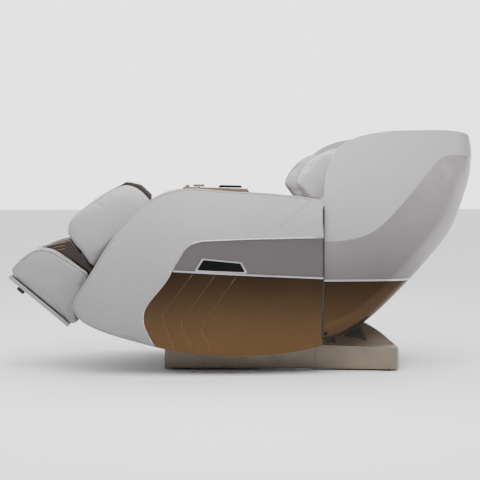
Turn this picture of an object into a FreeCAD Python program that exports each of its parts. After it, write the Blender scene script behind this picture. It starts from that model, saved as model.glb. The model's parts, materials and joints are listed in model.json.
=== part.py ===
import FreeCAD, Part
import math
import os

from FreeCAD import Placement, Rotation, Vector

# Reclining massage chair, millimetres. +X points from the feet to the head, +Z up,
# -Y is the sitter's left. The origin is on the floor, under the middle of the chair.
# Every piece is drawn where it stands in the reclined (zero-gravity) position.

os.makedirs("parts", exist_ok=True)
doc = FreeCAD.newDocument("MassageChair")
sheet = doc.addObject("Spreadsheet::Sheet", "Dims")

DIMENSIONS = [
    # main pivots, X and Z
    ("tilt_x", 60), ("tilt_z", 200), ("knee_x", -400), ("knee_z", 560), ("hip_x", 230), ("hip_z", 300),
    # slopes of the back, the calf rest and the seat, degrees
    ("back_slope", 43.5), ("calf_slope", 35), ("seat_slope", 29.9),
    # widths, measured from the middle plane
    ("arm_outer", 400), ("arm_inner", 262), ("liner_thick", 10), ("wing_outer", 372), ("pad_half", 255),
    ("calf_half", 240),
    # sheet and panel thicknesses
    ("skin", 8), ("shell_wall", 13), ("inlay_recess", 5), ("skirt_recess", 3), ("panel_thick", 6),
    ("trim_width", 7), ("sole_thick", 15),
    # bulge radii of the arm sides and of the back shell
    ("barrel_length_radius", 8000), ("barrel_height_radius", 4000), ("dome_radius", 8000),
    ("shell_corner", 80),
    # base
    ("floor_gap", 8), ("beam_width", 40), ("beam_height", 40), ("foot_radius", 25), ("foot_height", 20),
    ("wheel_radius", 28), ("wheel_x", 606), ("wheel_y", 262), ("wheel_z", 30),
    ("rail_length", 640), ("rail_width", 24), ("rail_height", 16),
    # pins and running clearance
    ("pin_radius", 10), ("small_pin_radius", 4), ("running_gap", 0.05),
    # actuators
    ("ram_radius", 22), ("rod_radius", 9), ("eye_radius", 14), ("eye_width", 20),
    # massage mechanism
    ("roller_radius", 24), ("roller_width", 24), ("roller_spread", 75), ("sole_roller_radius", 18),
    # wells of the calf rest, measured from the middle plane
    ("well_inner", 46), ("well_outer", 194), ("lining", 6),
]
for row, (alias, value) in enumerate(DIMENSIONS, start=1):
    sheet.set("A%d" % row, alias)
    sheet.set("B%d" % row, str(value))
    sheet.setAlias("B%d" % row, alias)
doc.recompute()

Y_AXIS = Vector(0, 1, 0)
Z_AXIS = Vector(0, 0, 1)


def dim(alias):
    """The value of one cell of the sheet."""
    return float(getattr(sheet, alias))


class Frame:
    """A tilted working frame in the side plane: along runs up the slope, out stands off it."""

    def __init__(self, x, z, slope):
        self.placement = Placement(Vector(x, 0, z), Rotation(Vector(0, -1, 0), slope))

    def point(self, along, out, y=0.0):
        return self.placement.multVec(Vector(along, y, out))


LEVEL = Frame(0, 0, 0)
BACK = Frame(dim("hip_x"), dim("hip_z"), dim("back_slope"))
CALF = Frame(dim("knee_x"), dim("knee_z"), dim("calf_slope"))
SEAT = Frame(dim("knee_x"), dim("knee_z"), -dim("seat_slope"))


# ---------------------------------------------------------------- document objects

def box(along, y, out, frame=LEVEL, **cells):
    """A Part::Box from ranges (low, high); cells binds Length, Width or Height to the sheet."""
    item = doc.addObject("Part::Box", "Block")
    item.Length = along[1] - along[0]
    item.Width = y[1] - y[0]
    item.Height = out[1] - out[0]
    for name, formula in cells.items():
        item.setExpression(name, formula)
    item.Placement = Placement(frame.point(along[0], out[0], y[0]), frame.placement.Rotation)
    return item


def rod(along, out, y, radius, frame=LEVEL):
    """A Part::Cylinder across the chair; radius is a formula on the sheet."""
    item = doc.addObject("Part::Cylinder", "Rod")
    item.setExpression("Radius", radius)
    item.Height = y[1] - y[0]
    item.Placement = Placement(frame.point(along, out, y[0]), Rotation(Z_AXIS, Y_AXIS))
    return item


def bar(start, direction, length, radius):
    """A Part::Cylinder from a point along a direction; radius is a formula on the sheet."""
    item = doc.addObject("Part::Cylinder", "Bar")
    item.setExpression("Radius", radius)
    item.Height = length
    item.Placement = Placement(start, Rotation(Z_AXIS, direction))
    return item


def plate(points, y, frame=LEVEL):
    """A PartDesign body: a closed outline in the side plane, padded across the chair."""
    body = doc.addObject("PartDesign::Body", "Plate")
    sketch = body.newObject("Sketcher::SketchObject", "Outline")
    plane = [item for item in body.Origin.OriginFeatures if item.Role == "XZ_Plane"][0]
    sketch.AttachmentSupport = [(plane, "")]
    sketch.MapMode = "FlatFace"
    corners = [Vector(along, out, 0) for along, out in points]
    for start, end in zip(corners, corners[1:] + corners[:1]):
        sketch.addGeometry(Part.LineSegment(start, end))
    pad = body.newObject("PartDesign::Pad", "Thickness")
    pad.Profile = sketch
    pad.Length = y[1] - y[0]
    pad.Reversed = True
    body.Placement = Placement(frame.point(0, 0, y[0]), frame.placement.Rotation)
    return body


def freeform(shape):
    """A Part::Feature for a shape that primitives can't make."""
    item = doc.addObject("Part::Feature", "Freeform")
    item.Shape = shape
    return item


def fuse(*items):
    if len(items) == 1:
        return items[0]
    result = doc.addObject("Part::MultiFuse", "Union")
    result.Shapes = list(items)
    result.Refine = True
    return result


def cut(base, *tools):
    result = doc.addObject("Part::Cut", "Difference")
    result.Base = base
    result.Tool = fuse(*tools)
    return result


def mirrored(item):
    """The same piece on the other side of the chair."""
    result = doc.addObject("Part::Mirroring", "Mirror")
    result.Source = item
    result.Normal = Y_AXIS
    return result


NODES = []


def node(label, item):
    """Names a finished sub-part and puts it on the export list."""
    item.Label = label
    NODES.append(item)
    return item


def both_sides(label, item):
    """A left sub-part (-Y) and its mirror image."""
    node(label + "_left", item)
    node(label + "_right", mirrored(item))


def pair(label, item):
    """One sub-part made of a left piece and its mirror image."""
    node(label, fuse(item, mirrored(item)))


# ---------------------------------------------------------------- shapes in the side plane

def curve(points):
    spline = Part.BSplineCurve()
    spline.interpolate([Vector(x, 0, z) for x, z in points])
    return spline.toShape()


def arc(start, middle, end):
    return Part.Arc(*[Vector(x, 0, z) for x, z in (start, middle, end)]).toShape()


def lines(points):
    return [Part.makeLine(Vector(a[0], 0, a[1]), Vector(b[0], 0, b[1])) for a, b in zip(points, points[1:])]


def outline(*runs):
    """A closed wire from runs of points: a tuple is a smooth curve, a list is straight lines."""
    edges = []
    for run in runs:
        edges += [curve(run)] if isinstance(run, tuple) else lines(run)
    closing = (runs[-1][-1], runs[0][0])
    if closing[0] != closing[1]:
        edges += lines(list(closing))
    return Part.Wire(Part.__sortEdges__(edges))


def prism(wire, y):
    """A closed side-plane wire pushed across the chair from y[0] to y[1]."""
    face = Part.Face(wire)
    face.translate(Vector(0, y[0], 0))
    return face.extrude(Vector(0, y[1] - y[0], 0))


def rounded(points, radius):
    """A closed polygon with every corner rounded by an arc."""
    count = len(points)
    spots = [Vector(x, 0, z) for x, z in points]
    edges = []
    arcs = []
    for index in range(count):
        before, corner, after = spots[index - 1], spots[index], spots[(index + 1) % count]
        back_way = (before - corner).normalize()
        on_way = (after - corner).normalize()
        half_turn = (math.pi - back_way.getAngle(on_way)) / 2
        reach = radius * math.tan(half_turn)
        middle_way = (back_way + on_way).normalize()
        start = corner + back_way * reach
        end = corner + on_way * reach
        middle = corner + middle_way * (radius / math.cos(half_turn) - radius)
        arcs.append((start, end))
        edges.append(Part.Arc(start, middle, end).toShape())
    for index in range(count):
        edges.append(Part.makeLine(arcs[index - 1][1], arcs[index][0]))
    return Part.Wire(Part.__sortEdges__(edges))


def placed(wire, frame):
    """A wire drawn in a tilted frame, moved to the chair."""
    moved = wire.copy()
    moved.Placement = frame.placement
    return moved


# ---------------------------------------------------------------- base

BASE_FRONT, BASE_SEAM, BASE_TAIL = -331, 300, 690
BASE_LOW = dim("floor_gap")


def base_envelope(inset):
    """Outer form of the base covers: plan, side profile and crown, shrunk by inset."""
    tail_x, tail_y = 635, 302 - inset
    front = BASE_FRONT + inset
    plan_points = [Vector(front, -200 + inset, 0), Vector(BASE_SEAM, -250 + inset, 0), Vector(tail_x, -tail_y, 0)]
    plan_edges = [Part.makeLine(near, far) for near, far in zip(plan_points, plan_points[1:])]
    corner = Vector(tail_x, tail_y, 0)
    plan_edges.append(Part.Arc(plan_points[2], Vector(BASE_TAIL - inset, 0, 0), corner).toShape())
    plan_edges.append(Part.makeLine(corner, Vector(BASE_SEAM, 250 - inset, 0)))
    plan_edges.append(Part.makeLine(Vector(BASE_SEAM, 250 - inset, 0), Vector(front, 200 - inset, 0)))
    plan_edges.append(Part.makeLine(Vector(front, 200 - inset, 0), plan_points[0]))
    plan = Part.Face(Part.Wire(plan_edges)).extrude(Vector(0, 0, 400))
    low = BASE_LOW if inset == 0 else BASE_LOW - 20
    deck = [(front, low), (front - 7, 118 - inset), (BASE_FRONT + 12, 125 - inset), (BASE_SEAM, 125 - inset),
            (420, 190 - inset), (470, 190 - inset)]
    bend, tip = (615, 124 - inset), (BASE_TAIL - inset, low)
    curves = [arc(deck[-1], (552, 171 - inset), bend), arc(bend, (665 - inset / 2, 70 - inset / 2), tip)]
    side = Part.Wire(Part.__sortEdges__(lines([tip] + deck) + curves))
    side_solid = prism(side, (-400, 400))
    start_x = BASE_FRONT - 50
    shoulder, summit = 106 - inset, 190 - inset

    def spot(y, z):
        return Vector(start_x, y, z)

    crown_edges = [Part.Arc(spot(-255, shoulder), spot(0, summit), spot(255, shoulder)).toShape()]
    for near, far in (((255, shoulder), (400, shoulder - 22)), ((400, shoulder - 22), (400, 0)),
                      ((400, 0), (-400, 0)), ((-400, 0), (-400, shoulder - 22)),
                      ((-400, shoulder - 22), (-255, shoulder))):
        crown_edges.append(Part.makeLine(spot(*near), spot(*far)))
    crown_solid = Part.Face(Part.Wire(Part.__sortEdges__(crown_edges))).extrude(Vector(1200, 0, 0))
    return plan.common(side_solid).common(crown_solid)


def vent_prisms():
    """Upright prisms over the four three-cornered vents in the tail deck."""
    corners = [[(345, 240), (389, 246), (386, 215)], [(425, 204), (521, 236), (510, 138)]]
    solids = []
    for side in (-1, 1):
        for triangle in corners:
            points = [Vector(x, side * y, 0) for x, y in triangle]
            solids.append(Part.Face(Part.makePolygon(points + points[:1])).extrude(Vector(0, 0, 300)))
    return solids[0].fuse(solids[1:])


def base_covers():
    """Front and tail covers with a long opening on top for the seat carriage, and mesh vents."""
    seam_gap = 1.0
    shell = base_envelope(0).cut(base_envelope(dim("panel_thick")))
    opening = Part.makeBox(660, 360, 200, Vector(-250, -180, 60))
    front_zone = Part.makeBox(BASE_SEAM - seam_gap - BASE_FRONT, 900, 400, Vector(BASE_FRONT, -450, 0))
    tail_zone = Part.makeBox(500, 900, 400, Vector(BASE_SEAM, -450, 0))
    notch_line = [(BASE_TAIL + 10, 46), (BASE_TAIL - 56, 0), (BASE_TAIL + 10, 0)]
    notches = [prism(outline(notch_line + notch_line[:1]), y) for y in ((-340, -200), (200, 340))]
    upper = base_envelope(0).cut(base_envelope(0).translated(Vector(0, 0, -4)))
    vents = upper.common(vent_prisms())
    whole = shell.cut(opening)
    front = whole.common(front_zone)
    tail = whole.common(tail_zone).cut(notches[0]).cut(notches[1]).cut(vents)
    socket = Part.makeBox(60, 96, 40, Vector(BASE_TAIL - 60, -48, 26))
    tail = tail.cut(socket)
    node("base_front_cover", freeform(front))
    node("base_tail_cover", freeform(tail))
    node("base_vents", freeform(vents))


RAM_Z = 50


def base_structure():
    """Chassis, feet, rails, the slide ram and the power module, all standing on the floor."""
    beams = [box((-310, 570), (side * 140 - 20, side * 140 + 20), (20, 60), Width="Dims.beam_width",
                 Height="Dims.beam_height") for side in (-1, 1)]
    cross = [box((x, x + 40), (-160, 160), (20, 60), Height="Dims.beam_height") for x in (-310, 200, 530)]
    axles = []
    for side in (-1, 1):
        hub = side * dim("wheel_y")
        inner, outer = sorted((side * 160, hub + side * 18))
        axles.append(rod(dim("wheel_x"), dim("wheel_z"), (inner, outer), "Dims.small_pin_radius"))
        low, high = sorted((side * 150, side * 172))
        axles.append(box((550, dim("wheel_x") + 14), (low, high), (20, 44)))
    node("base_frame", fuse(*beams, *cross, *axles))

    feet = []
    for x, y in ((-285, -140), (-285, 140), (545, -140), (545, 140)):
        foot = bar(Vector(x, y, 0), Z_AXIS, 20, "Dims.foot_radius")
        foot.setExpression("Height", "Dims.foot_height")
        feet.append(foot)
    node("floor_feet", fuse(*feet))

    rails = [box((-240, 400), (side * 140 - 12, side * 140 + 12), (60, 76), Length="Dims.rail_length",
                 Width="Dims.rail_width", Height="Dims.rail_height") for side in (-1, 1)]
    node("slide_rails", fuse(*rails))

    barrel = bar(Vector(10, 0, RAM_Z), Vector(1, 0, 0), 180, "Dims.ram_radius")
    bore = bar(Vector(10, 0, RAM_Z), Vector(1, 0, 0), 172, "Dims.rod_radius + Dims.running_gap")
    foot = box((184, 200), (-14, 14), (36, 60))
    node("slide_actuator", fuse(cut(barrel, bore), foot))

    module = box((BASE_TAIL - 40, BASE_TAIL - 4), (-46, 46), (28, 64))
    rocker_pocket = box((BASE_TAIL - 24, BASE_TAIL), (8, 38), (34, 58))
    inlet_pocket = box((BASE_TAIL - 22, BASE_TAIL), (-38, -6), (34, 58))
    pins = [box((BASE_TAIL - 22, BASE_TAIL - 8), (y, y + 2), (44, 48)) for y in (-31, -23, -15)]
    axle_hole = rod(BASE_TAIL - 12, 46, (4, 42), "Dims.small_pin_radius / 2 + Dims.running_gap")
    node("power_inlet", fuse(cut(module, rocker_pocket, inlet_pocket, axle_hole), *pins))
    key = box((BASE_TAIL - 17, BASE_TAIL - 3), (10, 36), (37, 55))
    axle = rod(BASE_TAIL - 12, 46, (6, 40), "Dims.small_pin_radius / 2")
    node("power_rocker", fuse(key, axle))

    for side, name in ((-1, "left"), (1, "right")):
        hub = side * dim("wheel_y")
        disc = rod(dim("wheel_x"), dim("wheel_z"), (hub - 12, hub + 12), "Dims.wheel_radius")
        bore = rod(dim("wheel_x"), dim("wheel_z"), (hub - 12, hub + 12),
                   "Dims.small_pin_radius + Dims.running_gap")
        node("wheel_" + name, cut(disc, bore))


# ---------------------------------------------------------------- carriage and tilt drive

TILT_RAM_X = -120
TILT_EYE_Z = 330
BACK_RAM_Y, LEG_RAM_Y = 75, -75


def eye(along, out, y_middle, frame=LEVEL):
    """The round end of an actuator rod."""
    item = rod(along, out, (y_middle - 10, y_middle + 10), "Dims.eye_radius", frame)
    item.setExpression("Height", "Dims.eye_width")
    return item


def fork(points, y_middle, frame=LEVEL):
    """Two cheeks beside an actuator eye, with side clearance."""
    return [plate(points, (y_middle + low, y_middle + low + 8), frame) for low in (-22, 14)]


def carriage():
    """The platform that slides on the rails and carries the seat on two ears."""
    deck = box((-150, 200), (-152, 152), (76, 84))
    post_outline = [(0, 84), (150, 84), (84, 205), (78, 216), (60, 223), (42, 216), (36, 205)]
    posts = [plate(post_outline, (y, y + 12)) for y in (-152, 140)]
    pins = [rod(dim("tilt_x"), dim("tilt_z"), y, "Dims.pin_radius") for y in ((-190, -140), (140, 190))]
    ram_foot = box((TILT_RAM_X - 30, TILT_RAM_X + 30), (-30, 30), (84, 96))
    lug = box((-150, -130), (-16, 16), (40, 76))
    node("carriage_frame", fuse(deck, *posts, *pins, lug))
    rod_end = bar(Vector(-140, 0, RAM_Z), Vector(1, 0, 0), 180, "Dims.rod_radius")
    node("slide_rod", cut(rod_end, box((-150, -130), (-16, 16), (40, 76))))
    barrel = bar(Vector(TILT_RAM_X, 0, 96), Z_AXIS, 170, "Dims.ram_radius")
    bore = bar(Vector(TILT_RAM_X, 0, 110), Z_AXIS, 156, "Dims.rod_radius + Dims.running_gap")
    node("tilt_actuator", fuse(cut(barrel, bore), ram_foot))
    stem = bar(Vector(TILT_RAM_X, 0, 180), Z_AXIS, TILT_EYE_Z - 180, "Dims.rod_radius")
    node("tilt_rod", fuse(stem, eye(TILT_RAM_X, TILT_EYE_Z, 0)))


# ---------------------------------------------------------------- seat

SEAT_TOP_FRONT, SEAT_TOP_BACK = (-338, 648), (190, 345)


def seat():
    """Seat pan with its ears, forks and hinge rings, and the cushion on it."""
    inner = dim("arm_inner")
    pan = plate([(-338, 560), (-338, 536), (140, 262), (150, 282)], (-inner, inner))
    side_outline = [(-330, 542), (0, 353), (138, 274), (120, 215), (84, 200), (36, 176), (30, 200), (-60, 300),
                    (-330, 470)]
    sides = [plate(side_outline, (y, y + 12)) for y in (-174, 162)]
    rings = [rod(dim("tilt_x"), dim("tilt_z"), (y, y + 12), "Dims.pin_radius * 2.4") for y in (-174, 162)]
    tilt_bore = rod(dim("tilt_x"), dim("tilt_z"), (-200, 200), "Dims.pin_radius + Dims.running_gap")
    knee_outline = [(-338, 558), (-338, 500), (-390, 542), (-412, 546), (-418, 560), (-408, 574), (-380, 580)]
    knee_ears = [plate(knee_outline, (y, y + 10)) for y in (-258, 248)]
    knee_pins = [rod(dim("knee_x"), dim("knee_z"), y, "Dims.pin_radius") for y in ((-250, -224), (224, 250))]
    hip_outline = [(118, 284), (118, 262), (200, 262), (250, 282), (252, 300), (244, 316), (216, 318),
                   (200, 296), (150, 276)]
    hip_ears = [plate(hip_outline, (y, y + 12)) for y in (-234, 222)]
    hip_pins = [rod(dim("hip_x"), dim("hip_z"), y, "Dims.pin_radius") for y in ((-224, -196), (196, 224))]
    tilt_fork = fork([(TILT_RAM_X - 16, 430), (TILT_RAM_X - 20, 318), (TILT_RAM_X + 20, 318),
                      (TILT_RAM_X + 16, 412)], 0)
    ram_hangers = [plate([(-176, 455), (-176, 345), (-136, 322), (-136, 432)],
                         (LEG_RAM_Y - 10, LEG_RAM_Y + 10))]
    back_hanger = plate([(-40, 375), (-40, 250), (0, 250), (0, 352)], (BACK_RAM_Y - 10, BACK_RAM_Y + 10))
    frame = fuse(pan, *sides, *rings, *knee_ears, *knee_pins, *hip_ears, *hip_pins, *tilt_fork, *ram_hangers,
                 back_hanger)
    node("seat_frame", cut(frame, tilt_bore))
    cushion = rounded([SEAT_TOP_FRONT, SEAT_TOP_BACK, (156, 284), (-338, 563)], 18)
    node("seat_cushion", freeform(prism(cushion, (-dim("pad_half"), dim("pad_half")))))


LEG_CRANK = 70
LEG_PULL = Vector(math.cos(math.radians(dim("seat_slope"))), 0, -math.sin(math.radians(dim("seat_slope"))))
LEG_EYE = SEAT.point(0, -LEG_CRANK)
BACK_CRANK = 75


def seat_rams():
    """The leg rest and back actuators: barrels fixed to the seat, rods that slide in them."""
    lift = Vector(0, LEG_RAM_Y, 0)
    start = LEG_EYE + LEG_PULL * 90 + lift
    barrel = bar(start, LEG_PULL, 230, "Dims.ram_radius")
    bore = bar(start, LEG_PULL, 215, "Dims.rod_radius + Dims.running_gap")
    stem = bar(LEG_EYE + lift, LEG_PULL, 200, "Dims.rod_radius")
    hanger = NODES[-2]
    node("legrest_actuator", cut(cut(barrel, bore), hanger))
    node("legrest_rod", fuse(stem, eye(LEG_EYE.x, LEG_EYE.z, LEG_RAM_Y)))
    backward = Vector(-1, 0, 0)
    eye_spot = Vector(dim("hip_x"), BACK_RAM_Y, dim("hip_z") - BACK_CRANK)
    start = eye_spot + backward * 70
    barrel = bar(start, backward, 210, "Dims.ram_radius")
    bore = bar(start, backward, 196, "Dims.rod_radius + Dims.running_gap")
    stem = bar(eye_spot, backward, 190, "Dims.rod_radius")
    node("back_actuator", cut(cut(barrel, bore), hanger))
    node("back_rod", fuse(stem, eye(eye_spot.x, eye_spot.z, BACK_RAM_Y)))


# ---------------------------------------------------------------- arms

ARM_REAR, BARREL_X, BARREL_Z = 310, 50, 430


def barrel_solid(inset):
    """A gently bulged side form, the outer side of the left arm moved inwards by inset."""
    long_radius = dim("barrel_length_radius")
    tall_radius = dim("barrel_height_radius")
    apex = -dim("arm_outer") + inset
    hub = apex + tall_radius

    def rim(x):
        return Vector(x, apex + long_radius - math.sqrt(long_radius ** 2 - (x - BARREL_X) ** 2), BARREL_Z)

    low, high = -1000, 700
    edges = [Part.Arc(rim(low), rim(BARREL_X), rim(high)).toShape(),
             Part.makeLine(rim(high), Vector(high, 0, BARREL_Z)),
             Part.makeLine(Vector(high, 0, BARREL_Z), Vector(low, 0, BARREL_Z)),
             Part.makeLine(Vector(low, 0, BARREL_Z), rim(low))]
    half_angle = 12
    face = Part.Face(Part.Wire(edges))
    centre = Vector(0, hub, BARREL_Z)
    face.rotate(centre, Vector(1, 0, 0), -half_angle)
    return face.revolve(centre, Vector(1, 0, 0), 2 * half_angle)


def skin_layer(wire, shallow, deep):
    """The part of a side-plane outline that lies between two depths under the arm's side."""
    whole = prism(wire, (-460, -150))
    return whole.common(barrel_solid(shallow)).cut(barrel_solid(deep))


def arm_outline(rear, depth=0):
    """Side outline of the arm, or a line inside it: nose at the knee end, flat top, square rear."""
    points = [(rear, 124), (180, 97), (30, 86), (-120, 88), (-285, 105), (-468, 150), (-620, 203),
              (-682, 250), (-695, 299), (-667, 357), (-557, 534), (-435, 680), (-374, 722), (-313, 748),
              (-252, 760), (-87, 751), (43, 745), (175, 734), (rear - 24, 719), (rear - 7, 711),
              (rear, 693)]
    moved = []
    for index, (x, z) in enumerate(points):
        before = points[max(index - 1, 0)]
        after = points[min(index + 1, len(points) - 1)]
        step = Vector(after[0] - before[0], 0, after[1] - before[1]).normalize()
        moved.append((x + depth * step.z, z - depth * step.x))
    return outline(tuple(moved[:-2]), tuple(moved[-3:]))


def arms():
    """Arm bodies: light side skin, grey inlay, bronze skirt, silver line, badge and inner liner."""
    skin = dim("skin")
    full = prism(arm_outline(ARM_REAR), (-420, -dim("arm_inner") - dim("liner_thick")))
    cavity = prism(arm_outline(ARM_REAR + 80, skin), (-460, -dim("arm_inner") - 9))
    outside = full.common(barrel_solid(0))
    body = outside.cut(cavity.common(barrel_solid(skin)))
    wing_slot = Part.makeBox(200, 44, 80, Vector(150, -384, 690))

    past_rear = ARM_REAR + 40
    inlay_zone = outline([(-300, 431), (-252, 511), (-226, 535), (-183, 548), (0, 556), (past_rear, 562)],
                         [(past_rear, 562), (past_rear, 397), (43, 412), (-131, 421), (-300, 431)])
    skirt_zone = outline([(-300, 431), (-131, 421), (43, 412), (past_rear, 397), (past_rear, 40), (-340, 40)],
                         ((-340, 40), (-407, 201), (-414, 232), (-410, 269), (-385, 312), (-339, 367),
                          (-300, 431)))
    deep = skin + 12
    window = skin_layer(inlay_zone, -20, deep).fuse(skin_layer(skirt_zone, -20, deep))
    shell = body.cut(window).cut(wing_slot)
    both_sides("arm_shell", freeform(shell))

    recess = dim("inlay_recess")
    thick = dim("panel_thick")
    inlay = skin_layer(inlay_zone, recess, recess + thick).common(outside)
    pair("arm_inlay", freeform(inlay))
    recess = dim("skirt_recess")
    skirt = skin_layer(skirt_zone, recess, recess + thick).common(outside)
    for corners in ([(-214, 418), (-333, 256), (-285, 108)], [(-125, 412), (-257, 226), (-199, 94)],
                    [(-40, 406), (-177, 206), (-122, 90)]):
        skirt = skirt.cut(skin_layer(chevron(corners), recess - 6, recess + 2))
    both_sides("arm_skirt", freeform(skirt))

    half = dim("trim_width") / 2
    line = [(-297.5, 431), (-131, 421), (43, 412), (ARM_REAR, 399)]
    band = [(x, z + half) for x, z in line] + [(x, z - half) for x, z in reversed(line)]
    bezel = [(-212, 428), (-180, 482), (-22, 466), (4, 420)]
    strip = skin_layer(outline(band + band[:1]), 0, recess)
    frame = skin_layer(rounded(bezel, 6), -1, recess)
    face = rounded([(-201, 434), (-175, 475), (-27, 461), (-7, 425)], 5)
    badge = skin_layer(face, 0, recess)
    pair("arm_trim", freeform(strip.cut(frame).fuse(frame.cut(skin_layer(face, -2, recess)))))
    pair("arm_badge", freeform(badge))

    liner_y = (-dim("arm_inner") - dim("liner_thick"), -dim("arm_inner"))
    liner = prism(arm_outline(ARM_REAR), liner_y)
    both_sides("arm_liner", freeform(liner))


def chevron(corners):
    """A thin closed band along a three-point line."""
    half = 2.5
    (top_x, top_z), (knee_x, knee_z), (low_x, low_z) = corners
    points = [(top_x - half, top_z), (knee_x - half, knee_z), (low_x - half, low_z), (low_x + half, low_z),
              (knee_x + half, knee_z), (top_x + half, top_z)]
    return outline(points + points[:1])


DIAL_X, BUTTON_X = -190, -236
PLAY = 0.3


def arm_controls():
    """Bronze tray on the left arm with a knob, a push button and a glass panel."""
    arm_solid = prism(arm_outline(ARM_REAR), (-460, -200))
    tray = prism(rounded([(-262, 740), (-254, 769), (4, 761), (18, 736)], 5), (-378, -286)).cut(arm_solid)
    dial_hole = Part.makeCylinder(dim("small_pin_radius") + dim("running_gap"), 8, Vector(DIAL_X, -332, 762))
    button_hole = Part.makeCylinder(dim("rod_radius") + PLAY, 8, Vector(BUTTON_X, -332, 764))
    node("control_tray", freeform(tray.cut(dial_hole).cut(button_hole)))
    post = bar(Vector(DIAL_X, -332, 763), Z_AXIS, 8, "Dims.small_pin_radius")
    knob = bar(Vector(DIAL_X, -332, 768.6), Z_AXIS, 10, "Dims.rod_radius * 2.6")
    node("control_dial", fuse(post, knob))
    node("start_button", bar(Vector(BUTTON_X, -332, 767), Z_AXIS, 9, "Dims.rod_radius"))
    glass = plate([(-112, 765.3), (-112, 772), (-104, 776), (-24, 774), (-18, 770), (-18, 763.4)], (-370, -294))
    node("touch_panel", cut(glass, freeform(tray)))


# ---------------------------------------------------------------- leg rest

def legrest():
    """Calf rest with two U-shaped wells, its steel frame, and the dark lining of the wells."""
    half = dim("calf_half")
    back_out = 30
    wings = [(-262, back_out), (-266, 150), (-262, 208), (-222, 242), (-150, 251), (-20, 250), (54, 232),
             (86, 192), (103, 124), (64, back_out)]
    solid = prism(placed(rounded(wings, 12), CALF), (-half, half))
    floor_out = 100
    inner, outer = dim("well_inner"), dim("well_outer")
    well = [(-300, floor_out), (-300, 300), (140, 300), (140, floor_out)]
    for side in (-1, 1):
        solid = solid.cut(prism(placed(outline(well + well[:1]), CALF), sorted((side * inner, side * outer))))
    lining = dim("lining")
    lined = [(-256, floor_out), (-258, 150), (-254, 204), (-222, 232), (-150, 243), (-20, 246), (62, 238),
             (98, 198), (112, 134), (84, floor_out)]
    liners = []
    for side in (-1, 1):
        low, high = sorted((side * inner, side * outer))
        tray = prism(placed(rounded(lined, 8), CALF), (low, high))
        hollow = box((-300, 160), (low + lining, high - lining), (floor_out + lining, 300), CALF)
        liners.append(cut(freeform(tray), hollow))
    node("calf_block", freeform(solid))
    node("calf_liner", fuse(*liners))

    deck = box((-250, 60), (-half + 10, half - 10), (18, back_out), CALF)
    rings = [rod(0, 0, (y, y + 12), "Dims.pin_radius * 1.8", CALF) for y in (-238, 226)]
    cheeks = [box((-18, 18), (y, y + 12), (0, 20), CALF) for y in (-238, 226)]
    knee_bore = rod(0, 0, (-260, 260), "Dims.pin_radius + Dims.running_gap", CALF)
    crank = fork([(LEG_EYE.x - 18, LEG_EYE.z + 4), (LEG_EYE.x - 8, LEG_EYE.z - 16),
                  (LEG_EYE.x + 16, LEG_EYE.z - 8), (-384, 566), (-418, 580)], LEG_RAM_Y)
    guides = [box((-250, -40), (y, y + 16), (4, 18), CALF) for y in (-128, 112)]
    node("legrest_frame", cut(fuse(deck, *rings, *cheeks, *crank, *guides), knee_bore))


SOLE_LINE = ((-547, 196), (-467, -110))
SOLE_ROLLER = (-480, 60)


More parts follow.
